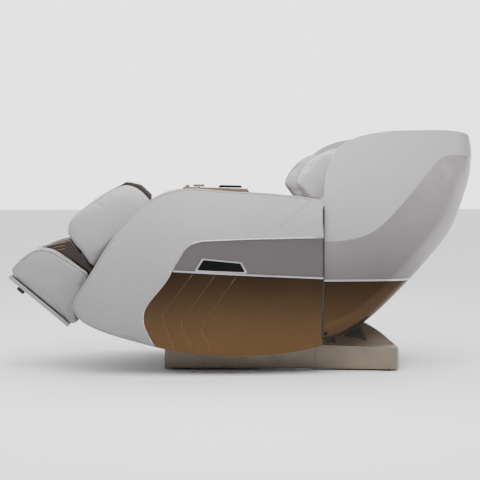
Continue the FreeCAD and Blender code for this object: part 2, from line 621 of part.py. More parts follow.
def footrest():
    """Boot-shaped foot rest with two foot wells, sole plate, bumpers and sole rollers."""
    half = dim("calf_half")
    shape = [(-281, 20), (-308, 104), (-340, 178), (-372, 212), (-404, 224), (-431, 228), (-486, 227),
             (-530, 219), (-546, 188), (-467, -116), (-444, -128), (-424, -88), (-336, -38)]
    solid = prism(placed(rounded(shape, 8), CALF), (-half, half))
    inner, outer = dim("well_inner") + 6, dim("well_outer") - 6
    well = [(-260, 102), (-310, 70), (-392, -40), (-440, -60), (-505, 190), (-505, 300), (-260, 300)]
    lining = dim("lining")
    lined = [(-260, 102 + lining), (-306, 70 + lining), (-388, -32), (-434, -50), (-499, 190), (-499, 300),
             (-260, 300)]
    instep = [(-270, 8), (-270, 174), (-331, 200), (-386, 217), (-431, 218), (-505, 212), (-520, 180),
              (-450, -100), (-336, -34)]
    lined_half = half - 14
    lining_solid = prism(placed(rounded(instep, 8), CALF), (-lined_half, lined_half)).cut(solid)
    for side in (-1, 1):
        low, high = sorted((side * inner, side * outer))
        hollow = prism(placed(outline(well + well[:1]), CALF), (low, high))
        solid = solid.cut(hollow)
        core = prism(placed(outline(lined + lined[:1]), CALF), (low + lining, high - lining))
        walls = hollow.common(prism(placed(rounded(instep, 8), CALF), (-half, half)))
        lining_solid = lining_solid.fuse(walls).cut(core)
    along, out = SOLE_ROLLER
    centre = CALF.point(along, out)
    relief_radius = dim("sole_roller_radius") + 3
    for side in (-1, 1):
        low, high = sorted((side * (inner + 15), side * (outer - 15)))
        relief = Part.makeCylinder(relief_radius, high - low, Vector(centre.x, low, centre.z), Y_AXIS)
        bore = Part.makeCylinder(dim("small_pin_radius") + dim("running_gap"), high - low + 10,
                                 Vector(centre.x, low - 5, centre.z), Y_AXIS)
        solid = solid.cut(relief).cut(bore)
        lining_solid = lining_solid.cut(relief)
        cheeks = []
        for edge in (low - 9, high):
            end = Vector(centre.x, edge, centre.z)
            cheeks.append(Part.makeCylinder(dim("sole_roller_radius") - 4, 9, end, Y_AXIS))
        solid = solid.fuse(cheeks).cut(bore)
        lining_solid = lining_solid.cut(cheeks[0]).cut(cheeks[1])
        name = "left" if side < 0 else "right"
        drum = rod(along, out, (low + 2, high - 2), "Dims.sole_roller_radius", CALF)
        axle = rod(along, out, (low - 4, high + 4), "Dims.small_pin_radius", CALF)
        node("sole_roller_" + name, fuse(drum, axle))
    node("foot_block", freeform(solid))
    node("foot_liner", freeform(lining_solid))
    (top_along, top_out), (low_along, low_out) = SOLE_LINE
    sole_length = math.hypot(top_along - low_along, top_out - low_out)
    across = dim("sole_thick") * (top_out - low_out) / sole_length
    down = dim("sole_thick") * (low_along - top_along) / sole_length
    edge = [(top_along, top_out), (low_along, low_out), (low_along - across, low_out - down),
            (top_along - across, top_out - down)]
    sole = prism(placed(rounded(edge, 5), CALF), (-half - 4, half + 4)).cut(solid)
    node("sole_plate", freeform(sole))
    bumpers = [bar(CALF.point(-530, 128, y), CALF.placement.Rotation.multVec(Vector(-1, 0, -0.26)), 38,
                   "Dims.sole_roller_radius") for y in (-170, 170)]
    node("footrest_bumpers", cut(fuse(*bumpers), freeform(sole.fuse(solid))))


# ---------------------------------------------------------------- back

def dome_solid(inset):
    """The form between the two gently bulged sides of the back shell, turned about the hip axis."""
    reach = 1100
    radius = dim("dome_radius")
    apex = dim("wing_outer") - inset
    hip_z = dim("hip_z")

    def rim(distance, side):
        sink = radius - math.sqrt(radius ** 2 - distance ** 2)
        return Vector(dim("hip_x") - distance, side * (apex - sink), hip_z)

    edges = [Part.Arc(rim(0, -1), rim(reach / 2, -1), rim(reach, -1)).toShape(),
             Part.makeLine(rim(reach, -1), rim(reach, 1)),
             Part.Arc(rim(reach, 1), rim(reach / 2, 1), rim(0, 1)).toShape(),
             Part.makeLine(rim(0, 1), rim(0, -1))]
    return Part.Face(Part.Wire(edges)).revolve(Vector(dim("hip_x"), 0, hip_z), Y_AXIS, 360)


REAR_CURVE = ((326, 138), (404, 158), (501, 211), (614, 310), (709, 406), (790, 497), (862, 592), (908, 700),
              (944, 811), (955, 912))
TOP_CURVE = ((932, 984), (880, 996), (706, 1000), (596, 996), (520, 986), (450, 968), (405, 946), (371, 920),
             (345, 877), (330, 835), (320, 780))


def back_shell_solid():
    """Hollow back shell: two side walls and a rear wall, open to the front and top."""
    wing_front = 284
    outer_wire = outline(REAR_CURVE, [REAR_CURVE[-1], TOP_CURVE[0]], TOP_CURVE,
                         [TOP_CURVE[-1], (316, 730), (wing_front, 706), (wing_front, 150), REAR_CURVE[0]])
    outer = prism(outer_wire, (-450, 450)).common(dome_solid(0))
    wall = dim("shell_wall")
    moved = [(x - wall * 1.2, z + wall * 0.75) for x, z in REAR_CURVE]
    inner_wire = outline(tuple(moved), [moved[-1], (945, 1200), (100, 1200), (100, -50), moved[0]])
    inner = prism(inner_wire, (-450, 450)).common(dome_solid(wall))
    radius = dim("shell_corner")
    outer = fillet_rear(outer, radius)
    inner = fillet_rear(inner, radius - wall)
    base_clearance = Part.makeBox(420, 552, 330, Vector(230, -276, -40))
    return outer.cut(inner).cut(base_clearance)


def fillet_rear(solid, radius):
    """Rounds the two long edges where the rear face meets the sides."""
    chosen = []
    for edge in solid.Edges:
        middle = edge.valueAt((edge.FirstParameter + edge.LastParameter) / 2)
        long_enough = edge.Length > 700
        at_rear = middle.x > 600 and abs(middle.y) > 250 and middle.z < 700
        if long_enough and at_rear:
            chosen.append(edge)
    return solid.makeFillet(radius, chosen)


def back_shell():
    """The shell split into light crown, grey band, silver line and bronze skirt."""
    shell = back_shell_solid()
    half = dim("trim_width") / 2
    far = 1100
    split = ((200, 552), (440, 557), (513, 582), (593, 647), (703, 771), (776, 858), (813, 891), (842, 899),
             (far, 898))
    crown_zone = outline(split, [(far, 898), (far, 1100), (200, 1100), (200, 552)])
    low_line = 387
    band_zone = outline(split, [(far, 898), (far, low_line + half), (200, low_line + half), (200, 552)])
    y_all = (-450, 450)
    trim_zone = Part.makeBox(far, 900, 2 * half, Vector(200, -450, low_line - half))
    skirt_zone = Part.makeBox(far, 900, 500, Vector(200, -450, low_line - half - 500))
    node("back_shell_crown", freeform(shell.common(prism(crown_zone, y_all))))
    node("back_shell_band", freeform(shell.common(prism(band_zone, y_all))))
    node("back_shell_trim", freeform(shell.common(trim_zone)))
    node("back_shell_skirt", freeform(shell.common(skirt_zone)))


STAYS = ((100, 356), (575, 338))


def back_frame():
    """Steel back frame: hinge ears, rails for the mechanism, ties to the shell."""
    rails = [box((40, 700), (y, y + 16), (-110, -60), BACK) for y in (-186, 170)]
    ties = [box((40, 66), (-186, 186), (-140, -118), BACK), box((660, 690), (-186, 186), (-140, -118), BACK)]
    posts = []
    for along in (40, 660):
        posts += [box((along, along + 26), (y, y + 16), (-120, -108), BACK) for y in (-186, 170)]
    ear_outline = [(-18, -12), (0, -22), (18, -14), (40, -62), (62, -66), (62, -110), (34, -110), (-20, -10)]
    ears = [plate(ear_outline, (y, y + 10), BACK) for y in (-214, 204)]
    rings = [rod(0, 0, (y, y + 10), "Dims.pin_radius * 2.2", BACK) for y in (-214, 204)]
    cross_tube = rod(50, -90, (-214, 214), "Dims.pin_radius * 1.4", BACK)
    crank = fork([(212, 212), (248, 212), (322, 250), (330, 290), (290, 296), (246, 250), (214, 244)],
                 BACK_RAM_Y)
    hip_bore = rod(0, 0, (-230, 230), "Dims.pin_radius + Dims.running_gap", BACK)
    stays = [box((along, along + 20), (-half, half), (-160, -140), BACK) for along, half in STAYS]
    stay_posts = []
    for along, half in STAYS:
        stay_posts += [box((along, along + 20), (y, y + 16), (-142, -108), BACK) for y in (-186, 170)]
    frame = fuse(*rails, *ties, *posts, *ears, *rings, cross_tube, *crank, *stays, *stay_posts)
    node("back_frame", cut(frame, hip_bore))


def back_pads():
    """Back cushion, shoulder wings, side lining of the shell and the flip-over head pillow."""
    half = dim("pad_half")
    cushion = rounded([(34, -38), (34, 22), (840, 22), (850, -38)], 14)
    node("back_cushion", freeform(prism(placed(cushion, BACK), (-half, half))))
    wing = rounded([(262, 722), (216, 784), (236, 826), (292, 888), (330, 912), (368, 918), (430, 906),
                    (560, 730), (452, 604), (330, 650)], 12)
    keep_off = Part.makeBox(900, 600, 70)
    keep_off.Placement = Placement(BACK.point(30, -44, -300), BACK.placement.Rotation)
    pad = prism(wing, (-half, -172)).cut(keep_off)
    both_sides("shoulder_pad", freeform(pad))
    lining = rounded([(345, 790), (352, 868), (385, 920), (435, 948), (600, 972), (840, 972), (880, 880),
                      (800, 700), (640, 540), (500, 540), (430, 700)], 10)
    pair("shell_lining", freeform(prism(lining, (-316, -half - 4)).common(dome_solid(20))))
    pillow = rounded([(650, 26), (650, 84), (790, 84), (790, 26)], 24)
    pillow_solid = prism(placed(pillow, BACK), (-150, 150))
    hinge = Part.makeCylinder(7, 260, BACK.point(802, 34, -130), Y_AXIS)
    web = Part.makeBox(20, 240, 8)
    web.Placement = Placement(BACK.point(784, 30, -120), BACK.placement.Rotation)
    node("head_pillow", freeform(pillow_solid.fuse([hinge, web])))


MECH_REST = 340
MECH_OUT = -78


def massage_mechanism():
    """The carriage that climbs the back, with two kneading arms and four rollers."""
    centre = MECH_REST
    deck = box((centre - 75, centre + 75), (-72, 72), (-118, -106), BACK)
    crossbar = box((centre - 20, centre + 20), (-169, 169), (-118, -106), BACK)
    motor = box((centre - 40, centre + 40), (-55, 55), (-170, -118), BACK)
    hub = box((centre - 12, centre + 12), (-60, 60), (-106, MECH_OUT + 8), BACK)
    shaft = rod(centre, MECH_OUT, (-86, 86), "Dims.small_pin_radius * 1.5", BACK)
    node("massage_carriage", fuse(deck, crossbar, motor, hub, shaft))
    spread = dim("roller_spread")
    for side, name in ((-1, "left"), (1, "right")):
        low, high = sorted((side * 74, side * 84))
        spine = plate([(centre - spread - 9, MECH_OUT - 8), (centre - spread - 9, MECH_OUT + 8),
                       (centre - 16, MECH_OUT + 15), (centre + 16, MECH_OUT + 15),
                       (centre + spread + 9, MECH_OUT + 8), (centre + spread + 9, MECH_OUT - 8),
                       (centre + 16, MECH_OUT - 15), (centre - 16, MECH_OUT - 15)], (low, high), BACK)
        bore = rod(centre, MECH_OUT, (-95, 95), "Dims.small_pin_radius * 1.5 + Dims.running_gap", BACK)
        axle_low, axle_high = sorted((side * 84, side * 122))
        axles = [rod(along, MECH_OUT, (axle_low, axle_high), "Dims.small_pin_radius", BACK)
                 for along in (centre - spread, centre + spread)]
        node("massage_arm_" + name, fuse(cut(spine, bore), *axles))
        for along, place in ((centre - spread, "lower"), (centre + spread, "upper")):
            drum_low, drum_high = sorted((side * 92, side * 116))
            drum = rod(along, MECH_OUT, (drum_low, drum_high), "Dims.roller_radius", BACK)
            drum.setExpression("Height", "Dims.roller_width")
            hole = rod(along, MECH_OUT, (drum_low, drum_high), "Dims.small_pin_radius + Dims.running_gap", BACK)
            node("massage_roller_%s_%s" % (name, place), cut(drum, hole))


# ---------------------------------------------------------------- build, check, export

base_covers()
base_structure()
carriage()
seat()
seat_rams()
arms()
arm_controls()
legrest()
footrest()
back_shell()
back_frame()
back_pads()
massage_mechanism()
doc.recompute()

for item in doc.Objects:
    if "Invalid" in item.State or "Error" in item.State:
        raise RuntimeError("%s (%s) failed: %s" % (item.Name, item.Label, item.State))
for item in NODES:
    if item.Shape.isNull() or not item.Shape.isValid() or item.Shape.Volume <= 0:
        raise RuntimeError("%s has no valid shape" % item.Label)
    item.Shape.exportStep(os.path.join("parts", item.Label + ".step"))
    print("%-30s %8.0f cm3  %d solids" % (item.Label, item.Shape.Volume / 1000, len(item.Shape.Solids)))
print(len(NODES), "sub-parts")
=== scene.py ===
import json
import math

import bmesh
import bpy
import numpy as np
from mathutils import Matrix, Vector
from mathutils.bvhtree import BVHTree


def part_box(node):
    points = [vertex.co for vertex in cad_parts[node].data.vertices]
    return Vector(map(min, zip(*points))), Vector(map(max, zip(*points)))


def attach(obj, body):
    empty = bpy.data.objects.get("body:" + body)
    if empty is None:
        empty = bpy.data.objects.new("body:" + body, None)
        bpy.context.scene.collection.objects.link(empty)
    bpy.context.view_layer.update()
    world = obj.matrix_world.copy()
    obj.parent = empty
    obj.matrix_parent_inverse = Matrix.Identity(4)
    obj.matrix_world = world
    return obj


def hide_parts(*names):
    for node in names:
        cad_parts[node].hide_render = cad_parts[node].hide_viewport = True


# Looks of a reclining massage chair: +X towards the head, -Y the sitter's left, metres.

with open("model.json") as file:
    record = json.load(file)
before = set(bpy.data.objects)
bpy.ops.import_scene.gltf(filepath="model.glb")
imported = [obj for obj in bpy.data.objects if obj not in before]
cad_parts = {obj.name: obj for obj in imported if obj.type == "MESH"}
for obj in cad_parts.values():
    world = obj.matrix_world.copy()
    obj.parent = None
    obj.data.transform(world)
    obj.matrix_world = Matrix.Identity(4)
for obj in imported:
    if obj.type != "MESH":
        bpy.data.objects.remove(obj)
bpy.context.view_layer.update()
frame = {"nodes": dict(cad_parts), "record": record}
nodes = frame["nodes"]
record = frame["record"]
slot_of = {row["node"]: row["material_slot"] for row in record["subparts"]}
joints = {joint["name"]: joint for joint in record["behaviour"]["joints"]}

TAUPE = (0.400, 0.382, 0.388)
TAUPE_SHELL = (0.410, 0.392, 0.402)
GREY_METAL = (0.120, 0.110, 0.113)
BRONZE_DARK = (0.020, 0.0075, 0.0008)
# bronze low down, lightened as a painted reflection of the pale floor
BRONZE_FLOOR_REFLECTION = (0.084, 0.042, 0.010)
BASE_TAUPE = (0.190, 0.150, 0.112)
BLACK = (0.012, 0.012, 0.013)
# how deep the painted shade makes the lowest parts of leather and shell
PAINTED_SHADE_LOW = 0.46


# ---------------------------------------------------------------- node helpers

class Tree:
    """A material's node tree, with short calls for the nodes the looks need."""

    def __init__(self, name):
        self.material = bpy.data.materials.new(name)
        self.material.use_nodes = True
        self.tree = self.material.node_tree
        self.shader = self.tree.nodes["Principled BSDF"]
        coordinates = self.tree.nodes.new("ShaderNodeTexCoord")
        self.place = coordinates.outputs["Object"]

    def add(self, kind, **settings):
        node = self.tree.nodes.new(kind)
        for key, value in settings.items():
            setattr(node, key, value)
        return node

    def link(self, source, target):
        self.tree.links.new(source, target)

    def set(self, **values):
        for key, value in values.items():
            self.shader.inputs[key.replace("_", " ")].default_value = value

    def noise(self, scale, detail=3.0, stretch=None):
        node = self.add("ShaderNodeTexNoise")
        node.inputs["Scale"].default_value = scale
        node.inputs["Detail"].default_value = detail
        place = self.place
        if stretch:
            mapping = self.add("ShaderNodeMapping")
            mapping.inputs["Scale"].default_value = stretch
            self.link(place, mapping.inputs["Vector"])
            place = mapping.outputs["Vector"]
        self.link(place, node.inputs["Vector"])
        return node.outputs["Fac"]

    def cells(self, scale):
        node = self.add("ShaderNodeTexVoronoi", feature="F1")
        node.inputs["Scale"].default_value = scale
        self.link(self.place, node.inputs["Vector"])
        return node.outputs["Distance"]

    def axis(self, name):
        split = self.add("ShaderNodeSeparateXYZ")
        self.link(self.place, split.inputs[0])
        return split.outputs[name]

    def ramp(self, value, stops):
        node = self.add("ShaderNodeValToRGB")
        elements = node.color_ramp.elements
        while len(elements) < len(stops):
            elements.new(0.5)
        for element, (position, color) in zip(elements, stops):
            element.position = position
            element.color = (*color, 1.0)
        self.link(value, node.inputs["Fac"])
        return node.outputs["Color"]

    def spread(self, value, low, high, to_low=0.0, to_high=1.0):
        node = self.add("ShaderNodeMapRange")
        for key, number in (("From Min", low), ("From Max", high), ("To Min", to_low), ("To Max", to_high)):
            node.inputs[key].default_value = number
        self.link(value, node.inputs["Value"])
        return node.outputs["Result"]

    def math(self, operation, first, second):
        node = self.add("ShaderNodeMath", operation=operation)
        for socket, value in zip(node.inputs, (first, second)):
            if isinstance(value, (int, float)):
                socket.default_value = value
            else:
                self.link(value, socket)
        return node.outputs[0]

    def color_from(self, color):
        self.link(color, self.shader.inputs["Base Color"])

    def painted_shade_tone(self, color, drift):
        """A tone with painted shade: a little deeper low down, where less light falls, with a faint drift.
        """
        height = self.spread(self.axis("Z"), 0.15, 0.88)
        shift = self.spread(drift, 0.3, 0.7, -0.05, 0.05)
        value = self.math("ADD", height, shift)
        self.color_from(self.ramp(value, [(0.0, shade(color, PAINTED_SHADE_LOW)), (0.9, color)]))

    def rough_from(self, value, low, high):
        self.link(self.spread(value, 0.3, 0.7, low, high), self.shader.inputs["Roughness"])

    def bump(self, *layers):
        """Layers of (height, strength, distance), stacked one on the other."""
        normal = None
        for height, strength, distance in layers:
            node = self.add("ShaderNodeBump")
            node.inputs["Strength"].default_value = strength
            node.inputs["Distance"].default_value = distance
            self.link(height, node.inputs["Height"])
            if normal:
                self.link(normal, node.inputs["Normal"])
            normal = node.outputs["Normal"]
        self.link(normal, self.shader.inputs["Normal"])


def shade(color, factor):
    return tuple(min(channel * factor, 1.0) for channel in color)


# ---------------------------------------------------------------- materials

def leather(name, color, grain=900.0, rough=(0.42, 0.56)):
    """Synthetic leather: pebbled grain, soft creases and painted shade that deepens the tone gently towards
    the floor.
    """
    look = Tree(name)
    look.painted_shade_tone(color, look.noise(9.0, 4.0))
    look.rough_from(look.noise(40.0), *rough)
    look.set(Coat_Weight=0.06, Coat_Roughness=0.35, Sheen_Weight=0.08, Sheen_Roughness=0.5)
    look.bump((look.cells(grain), 0.25, 0.0004), (look.noise(26.0, 5.0), 0.10, 0.003))
    return look.material


def moulded(name, color, rough=(0.26, 0.34), peel=420.0, coat=0.25):
    """Painted moulded plastic: a satin coat over a very fine orange peel, with painted shade that deepens it
    low down.
    """
    look = Tree(name)
    look.painted_shade_tone(color, look.noise(3.0, 2.0))
    look.rough_from(look.noise(60.0), *rough)
    look.set(Coat_Weight=coat, Coat_Roughness=0.18)
    look.bump((look.noise(peel, 2.0), 0.05, 0.0004))
    return look.material


def metallic(name, low_color, high_color, heights, rough=(0.30, 0.40), amount=0.75):
    """Metallic paint with fine flakes; its tone shifts slowly with height as painted light, shade and floor
    reflection.
    """
    look = Tree(name)
    height = look.spread(look.axis("Z"), *heights)
    flake = look.spread(look.noise(1400.0, 1.0), 0.35, 0.65, -0.05, 0.05)
    drift = look.spread(look.noise(2.2, 2.0), 0.3, 0.7, -0.06, 0.06)
    value = look.math("ADD", look.math("ADD", height, flake), drift)
    look.color_from(look.ramp(value, [(0.0, low_color), (1.0, high_color)]))
    look.rough_from(look.noise(50.0), *rough)
    look.set(Metallic=amount, Coat_Weight=0.3, Coat_Roughness=0.15)
    look.bump((look.noise(900.0, 1.0), 0.03, 0.0003))
    return look.material


def bright_metal(name, color=(0.50, 0.50, 0.52), rough=(0.16, 0.26), brushed=False):
    look = Tree(name)
    streak = look.noise(300.0, 2.0, stretch=(0.03, 1.0, 1.0) if brushed else None)
    look.color_from(look.ramp(streak, [(0.3, shade(color, 0.92)), (0.7, color)]))
    look.rough_from(streak, *rough)
    look.set(Metallic=1.0)
    look.bump((streak, 0.04, 0.0003))
    return look.material


def plain(name, color, rough=(0.45, 0.6), grain=700.0, strength=0.15, shine=0.5):
    """Matt plastic, nylon or powder coat with a fine texture."""
    look = Tree(name)
    fine = look.noise(grain, 3.0)
    look.color_from(look.ramp(look.noise(12.0), [(0.3, shade(color, 0.85)), (0.7, shade(color, 1.15))]))
    look.rough_from(fine, *rough)
    look.set(Specular_IOR_Level=shine)
    look.bump((fine, strength, 0.0004))
    return look.material


def lining_cloth(name):
    """Dark brown lining with thin bronze ribs running along the leg."""
    look = Tree(name)
    across = look.axis("Y")
    wave = look.math("SINE", look.math("MULTIPLY", across, 2 * math.pi / 0.024), 0.0)
    rib = look.spread(wave, 0.72, 0.96)
    weave = look.noise(900.0, 2.0)
    look.color_from(look.ramp(rib, [(0.0, (0.022, 0.014, 0.011)), (0.8, (0.24, 0.115, 0.045))]))
    look.rough_from(weave, 0.6, 0.8)
    look.set(Sheen_Weight=0.25, Sheen_Roughness=0.4)
    look.bump((rib, 0.6, 0.002), (weave, 0.3, 0.0006))
    return look.material


def mesh_vent(name):
    """Dark perforated grille: small round holes in a fine grid, painted near black as painted shade inside
    them.
    """
    look = Tree(name)
    holes = look.cells(170.0)
    dark = look.spread(holes, 0.18, 0.4)
    look.color_from(look.ramp(dark, [(0.0, (0.006, 0.006, 0.006)), (1.0, (0.085, 0.075, 0.065))]))
    look.rough_from(dark, 0.4, 0.6)
    look.bump((dark, 0.8, 0.0015))
    return look.material


def tyre_rubber(name):
    look = Tree(name)
    across = look.math("SINE", look.math("MULTIPLY", look.axis("Y"), 2 * math.pi / 0.004), 0.0)
    stops = [(0.3, (0.010, 0.010, 0.010)), (0.7, (0.022, 0.021, 0.020))]
    look.color_from(look.ramp(look.noise(30.0), stops))
    look.rough_from(look.noise(200.0), 0.55, 0.75)
    look.bump((across, 0.5, 0.0008), (look.noise(500.0), 0.2, 0.0004))
    return look.material


def glossy_screen(name):
    look = Tree(name)
    stops = [(0.3, (0.004, 0.004, 0.005)), (0.7, (0.012, 0.012, 0.014))]
    look.color_from(look.ramp(look.noise(5.0), stops))
    look.rough_from(look.noise(30.0), 0.04, 0.09)
    look.set(Coat_Weight=1.0, Coat_Roughness=0.03)
    look.bump((look.noise(8.0), 0.01, 0.001))
    return look.material


LEATHER = leather("taupe_leather", TAUPE)
# dark piping beads, their tone deepened as painted shade along the piped edges; also the painted groove
# shade on the arms
PIPING_AND_GROOVE_SHADE = leather("piping_leather_groove_shade", shade(TAUPE, 0.38), grain=1500.0)
SHELL = moulded("pearl_taupe", TAUPE_SHELL)
# painted light: the arms' grey panels turn lighter higher up and darker low down
GREY = metallic("grey_metallic", shade(GREY_METAL, 0.95), shade(GREY_METAL, 1.35), (0.40, 0.62))
# painted highlight: the back shell's grey band grows bright towards its top
GREY_BACK_PAINTED_HIGHLIGHT = metallic("grey_metallic_back_highlight", shade(GREY_METAL, 1.15), shade(GREY_METAL, 5.2), (0.38, 0.88))
# painted reflection: the bronze turns lighter low down, as if reflecting the floor
BRONZE = metallic("bronze_metallic", BRONZE_FLOOR_REFLECTION, BRONZE_DARK, (0.10, 0.42), amount=0.92)
SILVER = bright_metal("silver_trim")
STEEL_ROD = bright_metal("ground_steel", (0.55, 0.55, 0.56), (0.2, 0.3), brushed=True)
COVER = plain("taupe_cover", BASE_TAUPE, (0.38, 0.5), 500.0, 0.08)
MATT_BLACK = plain("matt_black", BLACK)
BADGE_BLACK = plain("badge_black", shade(BLACK, 0.3), (0.7, 0.8), shine=0.08)
FRAME_STEEL = plain("powder_coat", (0.02, 0.02, 0.022), (0.4, 0.55), 350.0, 0.2)
SCREEN = glossy_screen("piano_black")
LINING = lining_cloth("ribbed_lining")
RUBBER = tyre_rubber("black_rubber")
SOLE = moulded("sole_taupe", shade(TAUPE_SHELL, 1.05), (0.4, 0.5))
TRAY = metallic("tray_bronze", (0.16, 0.105, 0.060), (0.26, 0.18, 0.11), (0.74, 0.78), amount=0.5)
# painted highlight: light bronze lines along the chevron grooves, lighter low down as painted floor
# reflection
CHEVRON_HIGHLIGHT = metallic("chevron_painted_highlight", (0.20, 0.11, 0.045), (0.10, 0.05, 0.018), (0.10, 0.42))
BRONZE_LINE = leather("bronze_piping", (0.20, 0.095, 0.030), grain=1500.0)
NYLON = plain("dark_nylon", (0.05, 0.048, 0.045), (0.35, 0.5), 300.0, 0.1)
VENT = mesh_vent("vent_mesh")

BY_SLOT = {"light_shell": SHELL, "leather": LEATHER, "grey_panel": GREY, "bronze_panel": BRONZE,
           "silver_trim": SILVER, "base_cover": COVER, "black_plastic": MATT_BLACK, "black_gloss": SCREEN,
           "lining": LINING, "steel": FRAME_STEEL, "rod_steel": STEEL_ROD, "rubber": RUBBER, "roller": NYLON}
BY_NODE = {"back_shell_band": GREY_BACK_PAINTED_HIGHLIGHT, "base_vents": VENT, "sole_plate": SOLE,
           "control_tray": TRAY, "arm_badge": BADGE_BLACK}


def dress(item, material):
    item.data.materials.clear()
    item.data.materials.append(material)


for label, item in nodes.items():
    dress(item, BY_NODE.get(label, BY_SLOT[slot_of[label]]))


# ---------------------------------------------------------------- mesh helpers

def evaluated_mesh(item):
    graph = bpy.context.evaluated_depsgraph_get()
    graph.update()
    return bpy.data.meshes.new_from_object(item.evaluated_get(graph))


def apply_modifiers(item):
    """Bakes the modifiers of a new piece into its mesh."""
    mesh = evaluated_mesh(item)
    item.modifiers.clear()
    item.data = mesh
    return item


def new_piece(name, mesh, material, body):
    item = bpy.data.objects.new(name, mesh)
    bpy.context.scene.collection.objects.link(item)
    dress(item, material)
    for polygon in item.data.polygons:
        polygon.use_smooth = True
    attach(item, body)
    return item


def copied(label, name, keep=None):
    """A free copy of a CAD node's mesh; keep picks the separate solid on one side of y = 0."""
    mesh = nodes[label].data.copy()
    if keep:
        work = bmesh.new()
        work.from_mesh(mesh)
        unwanted = [vertex for vertex in work.verts if vertex.co.y * keep < 0]
        bmesh.ops.delete(work, geom=unwanted, context="VERTS")
        work.to_mesh(mesh)
        work.free()
    item = bpy.data.objects.new(name, mesh)
    bpy.context.scene.collection.objects.link(item)
    return item


def remeshed(item, size, smoothing):
    """Even small faces all over, with corners rounded by smoothing."""
    remesh = item.modifiers.new("even", "REMESH")
    remesh.mode = "VOXEL"
    remesh.voxel_size = size
    if smoothing:
        smooth = item.modifiers.new("soften", "SMOOTH")
        smooth.factor = 0.5
        smooth.iterations = smoothing
    return apply_modifiers(item)


def points_of(mesh):
    flat = np.empty(len(mesh.vertices) * 3)
    mesh.vertices.foreach_get("co", flat)
    return flat.reshape(-1, 3)


def normals_of(mesh):
    flat = np.empty(len(mesh.vertices) * 3)
    mesh.vertices.foreach_get("normal", flat)
    return flat.reshape(-1, 3)


def put_points(mesh, points):
    mesh.vertices.foreach_set("co", points.ravel())
    mesh.update()


CLOTH_FRAMES = 16


def inflated(item, pressure, cap, flat_towards=()):
    """Fills the piece like a stuffed cover with a short cloth simulation, no point moving past cap.

    The cover doesn't swell in the directions of flat_towards, where something rests on it or
    passes it.
    """
    scene = bpy.context.scene
    start = points_of(item.data)
    cloth = item.modifiers.new("stuffing", "CLOTH")
    cloth.settings.use_pressure = True
    cloth.settings.uniform_pressure_force = pressure
    cloth.settings.effector_weights.gravity = 0.0
    cloth.settings.quality = 4
    cloth.settings.tension_stiffness = 20.0
    cloth.settings.compression_stiffness = 20.0
    cloth.settings.bending_stiffness = 1.5
    cloth.collision_settings.use_collision = False
    cloth.point_cache.frame_start = 1
    cloth.point_cache.frame_end = CLOTH_FRAMES
    for number in range(1, CLOTH_FRAMES + 1):
        scene.frame_set(number)
    mesh = evaluated_mesh(item)
    end = points_of(mesh)
    item.modifiers.clear()
    bpy.data.meshes.remove(mesh)
    move = end - start
    length = np.linalg.norm(move, axis=1, keepdims=True)
    move *= np.minimum(1.0, cap / np.maximum(length, 1e-9))
    for direction in flat_towards:
        outward = np.array(Vector(direction).normalized())
        move -= np.outer(np.maximum(move @ outward, 0.0), outward)
    put_points(item.data, start + move)
    scene.frame_set(1)
    return item


def crowned(item, amount, axis, edge):
    """Raises the face along axis by amount at its middle, fading towards its edges."""
    points = points_of(item.data)
    normals = normals_of(item.data)
    low, high = points.min(axis=0), points.max(axis=0)
    middle = (low + high) / 2
    half = (high - low) / 2
    others = [index for index in range(3) if index != axis]
    fade = np.ones(len(points))
    for index in others:
        ratio = np.abs(points[:, index] - middle[index]) / half[index]
        fade *= np.clip((1 - ratio) / edge, 0, 1)
    facing = np.clip(np.abs(normals[:, axis]), 0, 1)
    put_points(item.data, points + normals * (amount * fade * facing)[:, None])


def grooved(item, path, width, depth):
    """Presses a sewn line into the surface along a path of points."""
    points = points_of(item.data)
    normals = normals_of(item.data)
    nearest = np.full(len(points), 1e9)
    for start, end in zip(path, path[1:]):
        start, end = np.array(start), np.array(end)
        along = end - start
        length = max(float(along @ along), 1e-12)
        ratio = np.clip((points - start) @ along / length, 0, 1)
        gap = np.linalg.norm(points - (start + ratio[:, None] * along), axis=1)
        nearest = np.minimum(nearest, gap)
    press = depth * np.exp(-(nearest / width) ** 2)
    put_points(item.data, points - normals * press[:, None])


def subdivided(item):
    item.modifiers.new("finish", "SUBSURF").render_levels = 1
    item.modifiers["finish"].levels = 1
    return item


def settled(item, material, body, slot, *replaced, fill=0.8):
    """Finishes a padded piece: look, body, and the CAD nodes it stands for, which it hides."""
    dress(item, material)
    for polygon in item.data.polygons:
        polygon.use_smooth = True
    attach(item, body)
    if replaced:
        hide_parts(*replaced)
    return item


